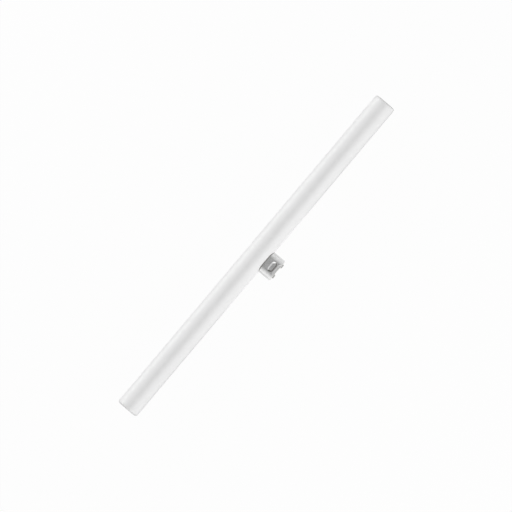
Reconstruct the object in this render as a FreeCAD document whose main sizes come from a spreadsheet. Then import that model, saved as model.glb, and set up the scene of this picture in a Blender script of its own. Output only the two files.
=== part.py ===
"""Tubular lamp: a closed opal tube with one oblong push-in cap in the middle of its length.

The lamp is drawn with its tube along X, its cap pointing down along -Z and one flat side of the
cap towards -Y, then laid on a table as it comes to rest: on the tube's underside and on the
cap's rim. Every size is in millimetres and comes from the sheet of sizes below.
"""

import FreeCAD
import Part
import Sketcher
import math
import os

SIZES = {
    # The tube
    "tube_length": 500,
    "tube_diameter": 29.5,
    "tube_end_round": 2.2,
    # The cap's shell, drawn from thin sheet
    "cap_offset": 2.2,
    "cap_width": 31.5,
    "cap_depth": 14,
    "cap_wall": 0.5,
    "cap_drop": 17.15,
    "seam_gap": 0.1,
    # The pressed dimple in each flat side, where the lampholder's spring catches
    "dimple_drop": 9.35,
    "dimple_margin": 1.9,
    "dimple_height": 7.3,
    "dimple_depth": 1.1,
    "dimple_slope": 1.2,
    "dimple_round": 0.3,
    # The crimped lip below each dimple, which holds the plug
    "lip_height": 3.1,
    "lip_depth": 1.1,
    "lip_top_margin": 3.15,
    "lip_rim_overrun": 0.85,
    # The insulating plug and its two posts
    "plug_clearance": 0.1,
    "plug_proud": 0.5,
    "plug_chamfer": 0.3,
    "post_flank": 1.7,
    "post_outer_flank": 0.4,
    # The two contacts, each a strip bent over its post
    "contact_inset": 7.45,
    "contact_side": 3,
    "contact_width": 4.8,
    "contact_sheet": 0.6,
    "contact_bend": 0.5,
    "contact_proud": 2.4,
    "slot_clearance": 0.1,
    "clinch_length": 1.5,
    "tag_height": 3.4,
    "tag_width": 2.8,
    "tag_round": 0.7,
    "tag_hole": 1.1,
    "tag_hole_rise": 2,
    # The lead wires, their solder and the cement that holds the shell on the tube
    "wire_diameter": 0.8,
    "wire_bend": 1.2,
    "wire_stub": 0.9,
    "wire_inset": 1.2,
    "wire_seal_depth": 3,
    "wire_clearance": 0.05,
    "solder_diameter": 2.2,
    "solder_tip": 1.1,
    "solder_height": 0.7,
    "cement_drop": 4.4,
}

# Two places closer together than this are the same place
SAME = 1e-6
# How far past a dimple's outline its own edges may reach
SLACK = 0.01
# The share of a piece that a cut must at least take away
LEAST_CUT = 1e-7
# A cut right through a wall goes this many times as deep as the wall
THROUGH = 2
QUARTER_TURN = math.pi / 2

# Derived sizes, each measured from the tube's axis where it is a height
RADIUS = "(Sizes.tube_diameter / 2)"
RIM = f"({RADIUS} + Sizes.cap_drop)"
CAP_HALF_WIDTH = "(Sizes.cap_width / 2)"
CAP_HALF_DEPTH = "(Sizes.cap_depth / 2)"
CAP_STRAIGHT = f"({CAP_HALF_WIDTH} - {CAP_HALF_DEPTH})"
SADDLE = f"({RADIUS} + Sizes.seam_gap)"

# A sheet pressed to a slope keeps its wall when its inner face is moved by this much
DIMPLE_MITRE = "(Sizes.cap_wall * tan(atan(Sizes.dimple_depth / Sizes.dimple_slope) / 2))"
DIMPLE_CENTRE = f"({RADIUS} + Sizes.dimple_drop)"
DIMPLE_HALF_HEIGHT = "(Sizes.dimple_height / 2)"
DIMPLE_STRAIGHT = f"({CAP_STRAIGHT} - Sizes.dimple_margin - {DIMPLE_HALF_HEIGHT})"

LIP_ANGLE = "atan(Sizes.lip_depth / Sizes.lip_height)"
LIP_TOP = f"({RIM} - Sizes.lip_height)"
LIP_TOP_HALF = f"({CAP_STRAIGHT} - Sizes.lip_top_margin)"
LIP_RIM_HALF = f"({CAP_STRAIGHT} + Sizes.lip_rim_overrun)"
LIP_WALL = f"(Sizes.cap_wall / cos({LIP_ANGLE}))"
LIP_MITRE = f"(Sizes.cap_wall * tan({LIP_ANGLE} / 2))"

PLUG_HALF_DEPTH = f"({CAP_HALF_DEPTH} - Sizes.cap_wall - Sizes.plug_clearance)"
PLUG_TOP = (
    f"({DIMPLE_CENTRE} + {DIMPLE_HALF_HEIGHT} + {DIMPLE_MITRE} + Sizes.plug_clearance)"
)
PLUG_FACE = f"({RIM} + Sizes.plug_proud)"

CONTACT_X = f"({CAP_HALF_WIDTH} - Sizes.contact_inset)"
CONTACT_HALF_WIDTH = "(Sizes.contact_width / 2)"
CONTACT_OUTER = f"({CAP_HALF_DEPTH} - Sizes.contact_side)"
CONTACT_INNER = f"({CONTACT_OUTER} - Sizes.contact_sheet)"
CONTACT_END = f"({RIM} + Sizes.contact_proud)"
POST_END = f"({CONTACT_END} - Sizes.contact_sheet)"
POST_HALF_SPAN = f"({CONTACT_INNER} - Sizes.slot_clearance)"
CLINCH = f"({PLUG_TOP} - Sizes.contact_bend)"
TAG_TOP = f"({PLUG_TOP} - Sizes.tag_height)"
TAG_HOLE = f"({PLUG_TOP} - Sizes.tag_hole_rise)"

WIRE_RADIUS = "(Sizes.wire_diameter / 2)"
WIRE_BORE = f"({WIRE_RADIUS} + Sizes.wire_clearance)"
WIRE_START = f"({CONTACT_OUTER} + Sizes.wire_stub)"
WIRE_END = f"({RADIUS} - Sizes.wire_seal_depth)"
CEMENT_END = f"({RADIUS} + Sizes.cement_drop)"

# The lamp rests on its tube and on the lowest points of the rim, at the two ends of the lip
RIM_SEAT = f"sqrt({CAP_HALF_DEPTH} ^ 2 - max(0; Sizes.lip_rim_overrun) ^ 2)"
LEAN = f"(asin({RADIUS} / sqrt({RIM} ^ 2 + {RIM_SEAT} ^ 2)) - atan({RIM_SEAT} / {RIM}))"
BEND_OUTER = "(Sizes.contact_bend + Sizes.contact_sheet)"
REACH = (
    f"(({CONTACT_OUTER} - {BEND_OUTER}) * sin({LEAN})"
    f" + ({CONTACT_END} - {BEND_OUTER}) * cos({LEAN}) + {BEND_OUTER})"
)


def add_sizes(doc):
    """The sheet of driving sizes, one row for each."""
    sheet = doc.addObject("Spreadsheet::Sheet", "Sizes")
    for row, (alias, value) in enumerate(SIZES.items(), start=1):
        sheet.set(f"A{row}", alias)
        sheet.set(f"B{row}", str(value))
        sheet.setAlias(f"B{row}", alias)
    doc.recompute()
    return sheet


def number(owner, expression):
    """The present value of an expression."""
    value = owner.evalExpression(expression)
    return float(getattr(value, "Value", value))


def new_body(doc, label, along="0"):
    """An empty body in the lamp's resting place, moved along the tube by the given amount."""
    body = doc.addObject("PartDesign::Body", label)
    body.Label = label
    body.Placement.Rotation.Axis = FreeCAD.Vector(1, 0, 0)
    body.setExpression(".Placement.Rotation.Angle", f"{LEAN} - 90 deg")
    body.setExpression(".Placement.Base.x", along)
    body.setExpression(".Placement.Base.y", f"({REACH} - {RADIUS}) / 2")
    body.setExpression(".Placement.Base.z", RADIUS)
    doc.recompute()
    return body


def origin_plane(body, role):
    """One of the body's own origin planes."""
    return next(f for f in body.Origin.OriginFeatures if f.Role == role)


def new_sketch(body, name, role, offset=None):
    """A sketch on one of the body's origin planes, moved along that plane's normal."""
    sketch = body.newObject("Sketcher::SketchObject", name)
    sketch.AttachmentSupport = (origin_plane(body, role), "")
    sketch.MapMode = "FlatFace"
    if offset is not None:
        sketch.setExpression(".AttachmentOffset.Base.z", offset)
    return sketch


def pin(sketch, element, point, x, y):
    """Ties one point of a sketch element to the sketch's origin by two sizes."""
    for kind, expression in (("DistanceX", x), ("DistanceY", y)):
        value = number(sketch, expression)
        index = sketch.addConstraint(
            Sketcher.Constraint(kind, -1, 1, element, point, value)
        )
        sketch.setExpression(f"Constraints[{index}]", expression)


def bind_radius(sketch, element, radius):
    """Ties the radius of an arc or circle to a size."""
    index = sketch.addConstraint(
        Sketcher.Constraint("Radius", element, number(sketch, radius))
    )
    sketch.setExpression(f"Constraints[{index}]", radius)


def draw_outline(sketch, corners):
    """A closed outline of straight lines through corners that are pinned by sizes."""
    places = [
        FreeCAD.Vector(number(sketch, x), number(sketch, y), 0) for x, y in corners
    ]
    first = sketch.GeometryCount
    count = len(corners)
    for i in range(count):
        sketch.addGeometry(Part.LineSegment(places[i], places[(i + 1) % count]))
    for i in range(count):
        following = first + (i + 1) % count
        sketch.addConstraint(
            Sketcher.Constraint("Coincident", first + i, 2, following, 1)
        )
    for i, (x, y) in enumerate(corners):
        pin(sketch, first + i, 1, x, y)


def draw_rectangle(sketch, left, right, low, high):
    """A rectangle between two sizes across and two sizes up."""
    draw_outline(sketch, [(left, low), (right, low), (right, high), (left, high)])


def draw_circle(sketch, x, y, radius):
    """A circle about a pinned centre."""
    centre = FreeCAD.Vector(number(sketch, x), number(sketch, y), 0)
    up = FreeCAD.Vector(0, 0, 1)
    element = sketch.addGeometry(Part.Circle(centre, up, number(sketch, radius)))
    pin(sketch, element, 3, x, y)
    bind_radius(sketch, element, radius)


def draw_oblong(sketch, straight, radius, height="0"):
    """An oblong with round ends: half its straight run, its end radius and its height."""
    run = number(sketch, straight)
    end = number(sketch, radius)
    middle = number(sketch, height)
    up = FreeCAD.Vector(0, 0, 1)
    first = sketch.GeometryCount
    right = Part.Circle(FreeCAD.Vector(run, middle, 0), up, end)
    left = Part.Circle(FreeCAD.Vector(-run, middle, 0), up, end)
    corners = [
        FreeCAD.Vector(-run, middle - end, 0),
        FreeCAD.Vector(run, middle - end, 0),
        FreeCAD.Vector(run, middle + end, 0),
        FreeCAD.Vector(-run, middle + end, 0),
    ]
    turn = QUARTER_TURN
    sketch.addGeometry(Part.LineSegment(corners[0], corners[1]))
    sketch.addGeometry(Part.ArcOfCircle(right, -turn, turn))
    sketch.addGeometry(Part.LineSegment(corners[2], corners[3]))
    sketch.addGeometry(Part.ArcOfCircle(left, turn, 3 * turn))
    for i in range(4):
        following = first + (i + 1) % 4
        sketch.addConstraint(Sketcher.Constraint("Tangent", first + i, 2, following, 1))
    for arc, across in ((first + 1, straight), (first + 3, f"-({straight})")):
        pin(sketch, arc, 3, across, height)
        bind_radius(sketch, arc, radius)


def bind(feature, **sizes):
    """Ties properties of a feature to expressions."""
    for name, expression in sizes.items():
        feature.setExpression(name, expression)


def add_pad(body, name, sketch, length, symmetric=False):
    """Material added from a sketch along its normal, or to both sides of it."""
    pad = body.newObject("PartDesign::Pad", name)
    pad.Profile = sketch
    if symmetric:
        pad.SideType = "Symmetric"
    bind(pad, Length=length)
    body.Document.recompute()
    return pad


def check_cut(body, feature, before):
    """Stops when a cut took nothing away."""
    if feature.Shape.Volume > before * (1 - LEAST_CUT):
        raise RuntimeError(f"{body.Label}: {feature.Name} cuts nothing")
    return feature


def add_pocket(body, name, sketch, length, symmetric=False, reverse=False):
    """Material taken away behind a sketch, or to both sides of it."""
    before = body.Shape.Volume
    pocket = body.newObject("PartDesign::Pocket", name)
    pocket.Profile = sketch
    pocket.Reversed = reverse
    if symmetric:
        pocket.SideType = "Symmetric"
    bind(pocket, Length=length)
    body.Document.recompute()
    return check_cut(body, pocket, before)


def add_loft(body, name, sections):
    """Material added between two sections."""
    loft = body.newObject("PartDesign::AdditiveLoft", name)
    loft.Profile = sections[0]
    loft.Sections = sections[1:]
    loft.Ruled = True
    body.Document.recompute()
    return loft


def cut_loft(body, name, sections):
    """Material taken away between two sections."""
    before = body.Shape.Volume
    loft = body.newObject("PartDesign::SubtractiveLoft", name)
    loft.Profile = sections[0]
    loft.Sections = sections[1:]
    loft.Ruled = True
    body.Document.recompute()
    return check_cut(body, loft, before)


def new_wedge(body, kind, name, rim, top):
    """A wedge that stands on the level of the rim and narrows upwards in width and depth.

    rim and top each hold the level, the half width and the nearer and further depth, all
    measured from the tube's axis towards the cap's front flat side.
    """
    before = body.Shape.Volume
    wedge = body.newObject(f"PartDesign::{kind}", name)
    wedge.AttachmentSupport = (origin_plane(body, "XZ_Plane"), "")
    wedge.MapMode = "FlatFace"
    level, half, near, far = rim
    bind(wedge, Ymin=f"-{level}", Xmin=f"-{half}", Xmax=half, Zmin=near, Zmax=far)
    level, half, near, far = top
    bind(wedge, Ymax=f"-{level}", X2min=f"-{half}", X2max=half, Z2min=near, Z2max=far)
    body.Document.recompute()
    if kind == "SubtractiveWedge":
        check_cut(body, wedge, before)
    return wedge


def mirror(body, name, features, role):
    """The same features again on the other side of one of the origin planes."""
    copy = body.newObject("PartDesign::Mirrored", name)
    copy.Originals = features
    copy.MirrorPlane = (origin_plane(body, role), [""])
    body.Tip = copy
    body.Document.recompute()
    return copy


def dress_edges(body, kind, name, wanted):
    """A fillet or chamfer on each edge of the body's present shape that the test wants."""
    base = body.Tip
    names = [
        f"Edge{i}" for i, edge in enumerate(base.Shape.Edges, start=1) if wanted(edge)
    ]
    if not names:
        raise RuntimeError(f"{body.Label}: {name} finds no edge")
    feature = body.newObject(f"PartDesign::{kind}", name)
    feature.Base = (base, names)
    return feature


def round_edges(body, name, wanted, radius):
    """Rounds each wanted edge."""
    bind(dress_edges(body, "Fillet", name, wanted), Radius=radius)
    body.Document.recompute()


def bevel_edges(body, name, wanted, size):
    """Bevels each wanted edge."""
    bind(dress_edges(body, "Chamfer", name, wanted), Size=size)
    body.Document.recompute()


def opal_tube(doc):
    """The closed opal tube, with the two seals in its underside where the lead wires enter."""
    body = new_body(doc, "opal_tube")
    section = new_sketch(body, "tube_section", "YZ_Plane")
    draw_circle(section, "0", "0", RADIUS)
    add_pad(body, "tube", section, "Sizes.tube_length", symmetric=True)
    half = number(body, "Sizes.tube_length / 2")

    def at_an_end(edge):
        box = edge.BoundBox
        return abs(abs(box.Center.x) - half) < SAME and box.XLength < SAME

    round_edges(body, "end_rounding", at_an_end, "Sizes.tube_end_round")
    seals = new_sketch(body, "seal_circles", "XY_Plane", f"-{RADIUS}")
    for side in ("-", ""):
        across = f"Sizes.cap_offset + {side}{CONTACT_X}"
        draw_circle(seals, across, "Sizes.wire_inset", WIRE_BORE)
    depth = "Sizes.wire_seal_depth + Sizes.wire_clearance"
    add_pocket(body, "wire_seals", seals, depth, reverse=True)
    return body


def saddle_cut(body, radius):
    """Cuts the top of a cap piece to the round of the tube."""
    circle = new_sketch(body, "saddle_circle", "YZ_Plane")
    draw_circle(circle, "0", "0", radius)
    add_pocket(body, "saddle", circle, f"{THROUGH} * Sizes.cap_width", symmetric=True)


def cap_shell(doc):
    """The drawn shell: a saddle mouth, two pressed dimples and two crimped lips."""
    body = new_body(doc, "cap_shell", "Sizes.cap_offset")
    section = new_sketch(body, "shell_section", "XY_Plane", f"-{RIM}")
    draw_oblong(section, CAP_STRAIGHT, CAP_HALF_DEPTH)
    draw_oblong(section, CAP_STRAIGHT, f"({CAP_HALF_DEPTH} - Sizes.cap_wall)")
    add_pad(body, "shell_wall", section, RIM)
    pressed = [
        press_dimple_inside(body),
        press_lip_inside(body),
    ]
    mirror(body, "pressed_back", pressed, "XZ_Plane")
    sunk = [
        sink_dimple(body),
        sink_lip(body),
    ]
    mirror(body, "sunk_back", sunk, "XZ_Plane")
    saddle_cut(body, SADDLE)
    round_dimples(body)
    return body


def dimple_section(body, name, depth, inset, mitre="0"):
    """The dimple's outline at one depth below the flat side."""
    sketch = new_sketch(body, name, "XZ_Plane", f"{CAP_HALF_DEPTH} - {depth}")
    radius = f"({DIMPLE_HALF_HEIGHT} - {inset} + {mitre})"
    draw_oblong(sketch, DIMPLE_STRAIGHT, radius, f"-{DIMPLE_CENTRE}")
    return sketch


def press_dimple_inside(body):
    """The bulge that a dimple leaves on the inside of the wall."""
    mouth = dimple_section(body, "bulge_root", "Sizes.cap_wall", "0", DIMPLE_MITRE)
    floor_depth = "Sizes.dimple_depth - Sizes.cap_wall"
    floor = dimple_section(
        body, "bulge_floor", floor_depth, "Sizes.dimple_slope", DIMPLE_MITRE
    )
    return add_loft(body, "dimple_bulge", [mouth, floor])


def sink_dimple(body):
    """The dimple itself, with sloped walls and a flat floor."""
    mouth = dimple_section(body, "dimple_mouth", "0", "0")
    floor = dimple_section(
        body, "dimple_floor", "Sizes.dimple_depth", "Sizes.dimple_slope"
    )
    return cut_loft(body, "dimple", [mouth, floor])


def press_lip_inside(body):
    """The wedge of wall that a crimped lip pushes inwards."""
    middle = f"({CAP_HALF_DEPTH} - Sizes.cap_wall / 2)"
    near_rim = f"({CAP_HALF_DEPTH} - Sizes.lip_depth - {LIP_WALL})"
    near_top = f"({CAP_HALF_DEPTH} - Sizes.cap_wall)"
    rim_half = f"({LIP_RIM_HALF} + Sizes.cap_wall)"
    top_half = f"({LIP_TOP_HALF} + Sizes.cap_wall)"
    rim = (RIM, rim_half, near_rim, middle)
    top = (f"({LIP_TOP} - {LIP_MITRE})", top_half, near_top, middle)
    return new_wedge(body, "AdditiveWedge", "lip_bulge", rim, top)


def sink_lip(body):
    """The slope that leads the lampholder's spring over the rim."""
    outside = f"({CAP_HALF_DEPTH} + Sizes.cap_wall)"
    near_rim = f"({CAP_HALF_DEPTH} - Sizes.lip_depth)"
    rim = (RIM, LIP_RIM_HALF, near_rim, outside)
    top = (LIP_TOP, LIP_TOP_HALF, CAP_HALF_DEPTH, outside)
    return new_wedge(body, "SubtractiveWedge", "lip_slope", rim, top)


def round_dimples(body):
    """Rounds the mouth and the floor of both dimples, as pressed sheet is."""
    half = number(body, CAP_HALF_DEPTH)
    floor = number(body, f"{CAP_HALF_DEPTH} - Sizes.dimple_depth")
    centre = number(body, DIMPLE_CENTRE)
    reach = number(body, DIMPLE_HALF_HEIGHT) + SLACK

    def on_a_dimple(edge):
        box = edge.BoundBox
        level = abs(box.Center.y)
        near = abs(box.ZMin + centre) < reach and abs(box.ZMax + centre) < reach
        on_a_face = abs(level - half) < SAME or abs(level - floor) < SAME
        return near and on_a_face and box.YLength < SAME

    round_edges(body, "dimple_rounding", on_a_dimple, "Sizes.dimple_round")


def cap_insulator(doc):
    """The moulded plug that closes the shell, with a post and two slots for each contact."""
    body = new_body(doc, "cap_insulator", "Sizes.cap_offset")
    section = new_sketch(body, "plug_section", "XY_Plane", f"-{PLUG_FACE}")
    draw_oblong(section, CAP_STRAIGHT, PLUG_HALF_DEPTH)
    add_pad(body, "plug", section, f"{PLUG_FACE} - {PLUG_TOP}")
    mirror(body, "bevel_back", [bevel_plug(body)], "XZ_Plane")
    face = number(body, PLUG_FACE)

    def around_the_face(edge):
        box = edge.BoundBox
        return abs(box.ZMin + face) < SAME and abs(box.ZMax + face) < SAME

    bevel_edges(body, "face_chamfer", around_the_face, "Sizes.plug_chamfer")
    post = add_post(body)
    slots = cut_slots(body)
    mirror(body, "left_side", [post, slots], "YZ_Plane")
    round_posts(body)
    return body


def bevel_plug(body):
    """The bevel under a crimped lip, one clearance inside the lip's inner face."""
    gap = "Sizes.plug_clearance"
    outside = f"({CAP_HALF_DEPTH} + Sizes.cap_wall)"
    side_gap = f"(Sizes.cap_wall + {gap})"
    depth_past_rim = "(Sizes.plug_proud * Sizes.lip_depth / Sizes.lip_height)"
    width_past_rim = (
        f"(Sizes.plug_proud * ({LIP_RIM_HALF} - {LIP_TOP_HALF}) / Sizes.lip_height)"
    )
    near_top = f"({CAP_HALF_DEPTH} - {LIP_WALL} - {gap})"
    near_face = f"({near_top} - Sizes.lip_depth - {depth_past_rim})"
    half_top = f"({LIP_TOP_HALF} + {side_gap})"
    half_face = f"({LIP_RIM_HALF} + {side_gap} + {width_past_rim})"
    face = (PLUG_FACE, half_face, near_face, outside)
    top = (LIP_TOP, half_top, near_top, outside)
    return new_wedge(body, "SubtractiveWedge", "plug_bevel", face, top)


def add_post(body):
    """The post under the right contact, with a long flank towards the middle of the cap."""
    sketch = new_sketch(body, "post_profile", "XZ_Plane")
    inner = f"({CONTACT_X} - {CONTACT_HALF_WIDTH})"
    outer = f"({CONTACT_X} + {CONTACT_HALF_WIDTH})"
    root = f"-({PLUG_FACE} - Sizes.plug_chamfer)"
    face = f"-{PLUG_FACE}"
    corners = [
        (f"({inner} - Sizes.post_flank)", root),
        (f"({inner} - Sizes.post_flank)", face),
        (inner, f"-{POST_END}"),
        (outer, f"-{POST_END}"),
        (f"({outer} + Sizes.post_outer_flank)", face),
        (f"({outer} + Sizes.post_outer_flank)", root),
    ]
    draw_outline(sketch, corners)
    return add_pad(body, "post", sketch, f"2 * {POST_HALF_SPAN}", symmetric=True)


def round_posts(body):
    """Rounds the posts' ends to the inside of the contacts' bends."""
    end = number(body, POST_END)

    def across_an_end(edge):
        box = edge.BoundBox
        return abs(box.Center.z + end) < SAME and box.YLength < SAME

    round_edges(body, "post_rounding", across_an_end, "Sizes.contact_bend")


def cut_slots(body):
    """The two slots that the legs of the right contact pass through."""
    sketch = new_sketch(body, "slot_outlines", "XY_Plane", f"-{PLUG_TOP}")
    half = f"({CONTACT_HALF_WIDTH} + Sizes.slot_clearance)"
    left = f"({CONTACT_X} - {half})"
    right = f"({CONTACT_X} + {half})"
    near = POST_HALF_SPAN
    far = f"({CONTACT_OUTER} + Sizes.slot_clearance)"
    draw_rectangle(sketch, left, right, near, far)
    draw_rectangle(sketch, left, right, f"-{far}", f"-{near}")
    return add_pocket(body, "slots", sketch, f"{CONTACT_END} - {PLUG_TOP}")


def contact(doc, label, side):
    """A strip bent over its post: a foot, a clinched front leg and a back leg with a tag."""
    body = new_body(doc, label, f"Sizes.cap_offset + {side}{CONTACT_X}")
    sketch = new_sketch(body, "strip_profile", "YZ_Plane")
    clinch_level = f"-{CLINCH}"
    clinch_top = f"-({CLINCH} - Sizes.contact_sheet)"
    clinch_tip = f"-({CONTACT_INNER} - Sizes.clinch_length)"
    corners = [
        (f"-{CONTACT_OUTER}", f"-{CONTACT_END}"),
        (CONTACT_OUTER, f"-{CONTACT_END}"),
        (CONTACT_OUTER, f"-{TAG_TOP}"),
        (CONTACT_INNER, f"-{TAG_TOP}"),
        (CONTACT_INNER, f"-{POST_END}"),
        (f"-{CONTACT_INNER}", f"-{POST_END}"),
        (f"-{CONTACT_INNER}", clinch_level),
        (clinch_tip, clinch_level),
        (clinch_tip, clinch_top),
        (f"-{CONTACT_OUTER}", clinch_top),
    ]
    draw_outline(sketch, corners)
    add_pad(body, "strip", sketch, "Sizes.contact_width", symmetric=True)
    shape_tag(body)
    bend_strip(body)
    return body


def shape_tag(body):
    """Narrows the back leg to a tag above the plug and pierces it for the wire."""
    sketch = new_sketch(body, "tag_cheeks", "XZ_Plane", f"-{CONTACT_OUTER}")
    low = f"-({PLUG_TOP} - Sizes.contact_sheet)"
    high = f"-({TAG_TOP} - Sizes.contact_sheet)"
    near = "(Sizes.tag_width / 2)"
    far = "Sizes.contact_width"
    draw_rectangle(sketch, near, far, low, high)
    draw_rectangle(sketch, f"-{far}", f"-{near}", low, high)
    depth = f"{THROUGH} * Sizes.contact_sheet"
    add_pocket(body, "tag_cheek_cuts", sketch, depth, reverse=True)
    circle = new_sketch(body, "tag_hole_circle", "XZ_Plane", f"-{CONTACT_OUTER}")
    draw_circle(circle, "0", f"-{TAG_HOLE}", "(Sizes.tag_hole / 2)")
    add_pocket(body, "tag_hole", circle, depth, reverse=True)
    top = number(body, TAG_TOP)

    def at_the_tip(edge):
        box = edge.BoundBox
        return abs(box.Center.z + top) < SAME and box.XLength < SAME

    round_edges(body, "tag_tip", at_the_tip, "Sizes.tag_round")


def bend_strip(body):
    """Rounds the strip where it is bent: the inside of each bend, then the outside."""
    foot_inner = number(body, POST_END)
    foot_outer = number(body, CONTACT_END)
    inner = number(body, CONTACT_INNER)
    outer = number(body, CONTACT_OUTER)
    clinch_inner = number(body, CLINCH)
    clinch_outer = number(body, f"{CLINCH} - Sizes.contact_sheet")

    def along_a_bend(places):
        def wanted(edge):
            centre = edge.BoundBox.Center
            across = edge.BoundBox.XLength > SAME
            return across and any(
                abs(centre.y - y) < SAME and abs(centre.z + z) < SAME
                for y, z in places
            )

        return wanted

    insides = [(-inner, foot_inner), (inner, foot_inner), (-inner, clinch_inner)]
    outsides = [(-outer, foot_outer), (outer, foot_outer), (-outer, clinch_outer)]
    round_edges(body, "bend_insides", along_a_bend(insides), "Sizes.contact_bend")
    round_edges(body, "bend_outsides", along_a_bend(outsides), BEND_OUTER)


def lead_wire(doc, label, side):
    """A wire from the contact's tag, round one bend and up through the cement to its seal."""
    body = new_body(doc, label, f"Sizes.cap_offset + {side}{CONTACT_X}")
    path = new_sketch(body, "wire_path", "YZ_Plane")
    start = number(path, WIRE_START)
    inset = number(path, "Sizes.wire_inset")
    bend = number(path, "Sizes.wire_bend")
    low = -number(path, TAG_HOLE)
    high = -number(path, WIRE_END)
    corner = FreeCAD.Vector(inset + bend, low, 0)
    rise = FreeCAD.Vector(inset, low + bend, 0)
    centre = FreeCAD.Vector(inset + bend, low + bend, 0)
    circle = Part.Circle(centre, FreeCAD.Vector(0, 0, 1), bend)
    turn = QUARTER_TURN
    path.addGeometry(Part.LineSegment(FreeCAD.Vector(start, low, 0), corner))
    path.addGeometry(Part.ArcOfCircle(circle, 2 * turn, 3 * turn))
    path.addGeometry(Part.LineSegment(rise, FreeCAD.Vector(inset, high, 0)))
    path.addConstraint(Sketcher.Constraint("Tangent", 0, 2, 1, 2))
    path.addConstraint(Sketcher.Constraint("Tangent", 1, 1, 2, 1))
    bind_radius(path, 1, "Sizes.wire_bend")
    pin(path, 0, 1, WIRE_START, f"-{TAG_HOLE}")
    path.addConstraint(Sketcher.Constraint("Horizontal", 0))
    pin(path, 2, 2, "Sizes.wire_inset", f"-{WIRE_END}")
    path.addConstraint(Sketcher.Constraint("Vertical", 2))
    section = new_sketch(body, "wire_section", "XZ_Plane", f"-{WIRE_START}")
    draw_circle(section, "0", f"-{TAG_HOLE}", WIRE_RADIUS)
    body.Document.recompute()
    wire = body.newObject("PartDesign::AdditivePipe", "wire")
    wire.Profile = section
    wire.Spine = (path, ["Edge1", "Edge2", "Edge3"])
    body.Document.recompute()
    return body


def solder_joint(doc, label, side):
    """The cone of solder round the wire on the outside of the tag."""
    body = new_body(doc, label, f"Sizes.cap_offset + {side}{CONTACT_X}")
    end = f"({CONTACT_OUTER} + Sizes.solder_height)"
    root = solder_circle(body, "solder_root", CONTACT_OUTER, "Sizes.solder_diameter")
    tip = solder_circle(body, "solder_tip", end, "Sizes.solder_tip")
    add_loft(body, "cone", [root, tip])
    bore = solder_circle(body, "wire_circle", CONTACT_OUTER, "Sizes.wire_diameter")
    add_pocket(body, "wire_bore", bore, f"{THROUGH} * Sizes.solder_height")
    return body


def solder_circle(body, name, offset, diameter):
    """A circle about the tag's hole, at one distance behind the middle of the cap."""
    sketch = new_sketch(body, name, "XZ_Plane", f"-{offset}")
    draw_circle(sketch, "0", f"-{TAG_HOLE}", f"({diameter} / 2)")
    return sketch


def basing_cement(doc):
    """The cement that fills the top of the shell and holds it on the tube."""
    body = new_body(doc, "basing_cement", "Sizes.cap_offset")
    section = new_sketch(body, "cement_section", "XY_Plane", f"-{CEMENT_END}")
    draw_oblong(section, CAP_STRAIGHT, f"({CAP_HALF_DEPTH} - Sizes.cap_wall)")
    add_pad(body, "cement", section, CEMENT_END)
    saddle_cut(body, RADIUS)
    bores = new_sketch(body, "wire_circles", "XY_Plane", f"-{CEMENT_END}")
    for side in ("-", ""):
        draw_circle(bores, f"{side}{CONTACT_X}", "Sizes.wire_inset", WIRE_BORE)
    add_pocket(body, "wire_bores", bores, CEMENT_END, reverse=True)
    return body


def check(doc, bodies):
    """Stops when any object failed or any piece isn't one sound solid."""
    for item in doc.Objects:
        if "Invalid" in item.State or "Error" in item.State:
            raise RuntimeError(f"{item.Name} ({item.Label}) failed: {item.State}")
    for body in bodies:
        shape = body.Shape
        if shape.isNull() or not shape.isValid() or len(shape.Solids) != 1:
            raise RuntimeError(f"{body.Label} isn't one valid solid")


def main():
    doc = FreeCAD.newDocument("TubularLamp")
    add_sizes(doc)
    bodies = [
        opal_tube(doc),
        basing_cement(doc),
        cap_shell(doc),
        cap_insulator(doc),
    ]
    for word, side in (("left", "-"), ("right", "")):
        bodies.append(contact(doc, f"contact_{word}", side))
        bodies.append(lead_wire(doc, f"lead_wire_{word}", side))
        bodies.append(solder_joint(doc, f"solder_joint_{word}", side))
    doc.recompute()
    check(doc, bodies)
    os.makedirs("parts", exist_ok=True)
    for body in bodies:
        body.Shape.exportStep(f"parts/{body.Label}.step")
        print(f"{body.Label}: {body.Shape.Volume:.1f} mm3")


main()
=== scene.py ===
"""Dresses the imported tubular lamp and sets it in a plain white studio.

The lamp lies on the underside of its tube and on the rim of its cap. Lengths are in metres. The
cap is shaped in a frame of its own, with x along the tube, y through the cap's flat sides and z
up through the tube's axis, and is then laid down as the lamp lies.
"""

import math

import bmesh
import bpy
from bpy.props import FloatProperty, FloatVectorProperty, IntProperty, PointerProperty
from mathutils import Matrix, Vector


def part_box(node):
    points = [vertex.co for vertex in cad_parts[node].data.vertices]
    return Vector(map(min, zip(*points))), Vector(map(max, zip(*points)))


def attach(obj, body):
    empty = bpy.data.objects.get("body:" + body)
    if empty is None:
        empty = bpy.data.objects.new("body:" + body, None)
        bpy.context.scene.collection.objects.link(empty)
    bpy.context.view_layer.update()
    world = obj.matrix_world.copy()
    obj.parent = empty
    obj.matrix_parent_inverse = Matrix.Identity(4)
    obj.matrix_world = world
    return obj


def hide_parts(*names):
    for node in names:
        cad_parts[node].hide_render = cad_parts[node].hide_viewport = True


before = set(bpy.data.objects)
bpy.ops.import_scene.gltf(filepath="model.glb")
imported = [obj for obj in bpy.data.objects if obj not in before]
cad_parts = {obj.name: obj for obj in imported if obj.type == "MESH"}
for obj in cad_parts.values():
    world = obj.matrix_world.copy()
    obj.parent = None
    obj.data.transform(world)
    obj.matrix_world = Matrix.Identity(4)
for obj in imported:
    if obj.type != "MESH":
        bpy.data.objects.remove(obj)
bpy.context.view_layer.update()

bl_info = {
    "name": "Tubular lamp",
    "version": (1, 0, 0),
    "blender": (4, 5, 0),
    "location": "3D View > Sidebar > Lamp",
    "description": "Opal tube, drawn metal cap, plug and contacts, in a plain white studio",
    "category": "Object",
}


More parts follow.
